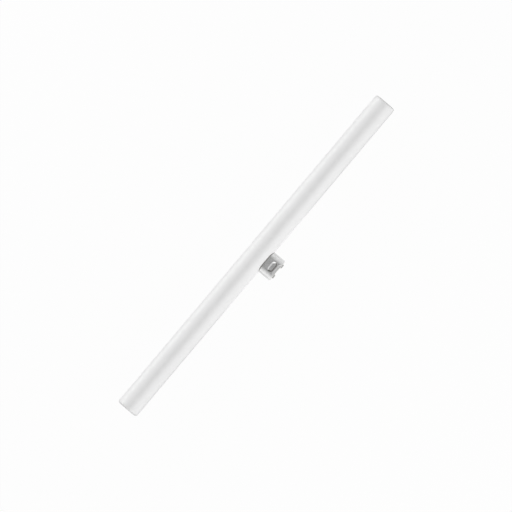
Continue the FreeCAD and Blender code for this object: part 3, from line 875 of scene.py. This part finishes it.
class LAMP_OT_studio(bpy.types.Operator):
    """Make the floor, the surrounding light, the soft panels and the camera"""

    bl_idname = "lamp.studio"
    bl_label = "Studio"

    def execute(self, context):
        settings = context.scene.lamp_studio
        context.scene.view_settings.view_transform = "Standard"
        lean = CapForm(context.scene.lamp_cap).lean
        self.make_floor(settings)
        self.make_sky(context.scene, settings, lean)
        self.make_panels(settings)
        self.make_camera(context.scene, lean)
        return {"FINISHED"}

    def make_floor(self, settings):
        """A pale floor that looks plain to the camera and keeps the lamp's shadow."""
        half = FLOOR_HALF
        corners = [(-half, -half), (half, -half), (half, half), (-half, half)]
        points = [(x, y, -FLOOR_GAP) for x, y in corners]
        mesh = bpy.data.meshes.new("floor")
        mesh.from_pydata(points, [], [(0, 1, 2, 3)])
        material = bpy.data.materials.new("pale_floor")
        nodes = Nodes(material)
        camera = nodes.node("ShaderNodeLightPath", out="Is Camera Ray")
        glossy = nodes.node("ShaderNodeLightPath", out="Is Glossy Ray")
        through = nodes.node("ShaderNodeLightPath", out="Is Transmission Ray")
        place = nodes.place("Object")
        along = nodes.node("ShaderNodeSeparateXYZ", {}, {0: place}, out="X")
        across = nodes.node("ShaderNodeSeparateXYZ", {}, {0: place}, out="Y")
        low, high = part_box("cap_shell")
        from_cap = nodes.math("ABSOLUTE", along - (low.x + high.x) / 2, 0.0)
        beside_cap = 1.0 - nodes.steps(from_cap, *OPEN_REACH)
        before_tube = 1.0 - nodes.steps(across, *OPEN_FRONT)
        shaded = nodes.steps(across, *SHADE_FRONT) * (1.0 - nodes.steps(across, *SHADE_BACK))
        shaded = shaded * (1.0 - beside_cap * before_tube)
        plain = settings.floor_white * (camera + through)
        plain = plain + settings.floor_gloss * glossy * (1.0 - shaded)
        tint = (*settings.floor, 1.0)
        matt = nodes.node("ShaderNodeBsdfDiffuse", {}, {"Color": tint})
        white = nodes.node("ShaderNodeEmission", {}, {"Strength": 1.0})
        shader = nodes.node("ShaderNodeMixShader", {}, {0: plain, 1: matt, 2: white})
        nodes.node("ShaderNodeOutputMaterial", {}, {"Surface": shader})
        mesh.materials.append(material)
        floor = bpy.data.objects.new("floor", mesh)
        bpy.context.scene.collection.objects.link(floor)

    def make_sky(self, scene, settings, lean):
        """White to the camera, and even light from all round. Reflections show a pale room
        that is paler still towards both ends of the lamp and beyond the tube, and darker
        overhead, most of all in the middle. Overhead means square to the cap's flat side."""
        world = bpy.data.worlds.new("surroundings")
        scene.world = world
        nodes = Nodes(world)
        camera = nodes.node("ShaderNodeLightPath", out="Is Camera Ray")
        through = nodes.node("ShaderNodeLightPath", out="Is Transmission Ray")
        glossy = nodes.node("ShaderNodeLightPath", out="Is Glossy Ray")
        where = nodes.node("ShaderNodeTexCoord", out="Generated")
        sine, cosine = math.sin(lean), math.cos(lean)

        def towards(direction):
            """How far a direction of the sky agrees with another one."""
            agreed = nodes.node(
                "ShaderNodeVectorMath",
                {"operation": "DOT_PRODUCT"},
                {0: where, 1: direction},
                out="Value",
            )
            return nodes.math("MAXIMUM", agreed, 0.0)

        left = towards((-1.0, 0.0, 0.0))
        right = towards((1.0, 0.0, 0.0))
        far = towards((0.0, cosine, sine))
        near = towards((0.0, -cosine, -sine))
        overhead = towards((0.0, -sine, cosine))
        room = settings.room + settings.room_left * left + settings.room_right * right
        room = room + settings.room_far * far * far + settings.window * near * left
        room = room - settings.ceiling * overhead * overhead * overhead
        room = room - settings.spot * overhead**settings.spot_edge
        level = settings.sky + glossy * (room - settings.sky)
        level = level + (camera + through) * (1 - level)
        sky = nodes.node("ShaderNodeBackground", {}, {"Color": level, "Strength": 1.0})
        nodes.node("ShaderNodeOutputWorld", {}, {"Surface": sky})

    def make_panels(self, settings):
        """Soft panels along the lamp, which neither the camera nor reflections show."""
        panels = (
            ("far_panel", 1.0, FAR_PANEL_HEIGHT, settings.far_panel),
            ("near_panel", -1.0, NEAR_PANEL_HEIGHT, settings.near_panel),
        )
        for name, side, height, watts in panels:
            lamp = bpy.data.lights.new(name, "AREA")
            lamp.shape = "RECTANGLE"
            lamp.size, lamp.size_y = PANEL_SIZE
            lamp.energy = watts
            panel = bpy.data.objects.new(name, lamp)
            towards = Vector((0.0, side * math.cos(height), math.sin(height)))
            panel.location = towards * PANEL_DISTANCE
            panel.rotation_mode = "QUATERNION"
            panel.rotation_quaternion = (-towards).to_track_quat("-Z", "Y")
            panel.visible_camera = False
            panel.visible_glossy = False
            bpy.context.scene.collection.objects.link(panel)

    def make_camera(self, scene, lean):
        """Looks square at the cap's flat side, rolled so that the tube rises to the right,
        and from so far that the picture has almost no perspective."""
        middle, _, _ = tube_axis()
        back = Vector((0.0, -math.sin(lean), math.cos(lean)))
        up = Vector((0.0, math.cos(lean), math.sin(lean)))
        across = Vector((1.0, 0.0, 0.0))
        sine, cosine = math.sin(PHOTO_TILT), math.cos(PHOTO_TILT)
        right = across * cosine - up * sine
        upward = across * sine + up * cosine
        aim = middle - right * PHOTO_RIGHT * PIXEL + upward * PHOTO_DOWN * PIXEL
        view = bpy.data.cameras.new("camera")
        view.sensor_width = SENSOR
        view.lens = SENSOR * CAMERA_DISTANCE / (PHOTO_SIDE * PIXEL)
        view.clip_end = 2 * CAMERA_DISTANCE
        camera = bpy.data.objects.new("camera", view)
        turned = Matrix((right, upward, back)).transposed().to_4x4()
        camera.matrix_world = Matrix.Translation(aim + back * CAMERA_DISTANCE) @ turned
        scene.collection.objects.link(camera)
        scene.camera = camera


class LAMP_PT_panel(bpy.types.Panel):
    """The lamp's pieces and the studio."""

    bl_idname = "LAMP_PT_panel"
    bl_label = "Tubular lamp"
    bl_space_type = "VIEW_3D"
    bl_region_type = "UI"
    bl_category = "Lamp"

    def draw(self, context):
        for operator in OPERATORS:
            self.layout.operator(operator.bl_idname)
        for name in SETTINGS:
            box = self.layout.box()
            settings = getattr(context.scene, name)
            for key in settings.bl_rna.properties.keys():
                if key not in ("rna_type", "name"):
                    box.prop(settings, key)


OPERATORS = (
    LAMP_OT_tube,
    LAMP_OT_shell,
    LAMP_OT_bead,
    LAMP_OT_fittings,
    LAMP_OT_studio,
)
SETTINGS = {
    "lamp_tube": TubeSettings,
    "lamp_cap": CapSettings,
    "lamp_fittings": FittingSettings,
    "lamp_studio": StudioSettings,
}


def register():
    """Adds the settings, the operators and the panel."""
    for group in (*SETTINGS.values(), *OPERATORS, LAMP_PT_panel):
        bpy.utils.register_class(group)
    for name, group in SETTINGS.items():
        setattr(bpy.types.Scene, name, PointerProperty(type=group))


def unregister():
    """Takes them away again."""
    for name in SETTINGS:
        delattr(bpy.types.Scene, name)
    for group in reversed((*SETTINGS.values(), *OPERATORS, LAMP_PT_panel)):
        bpy.utils.unregister_class(group)


def main():
    """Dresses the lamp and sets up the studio."""
    register()
    bpy.ops.lamp.tube()
    bpy.ops.lamp.shell()
    bpy.ops.lamp.bead()
    bpy.ops.lamp.fittings()
    bpy.ops.lamp.studio()
    bpy.context.view_layer.update()


if __name__ == "__main__":
    main()
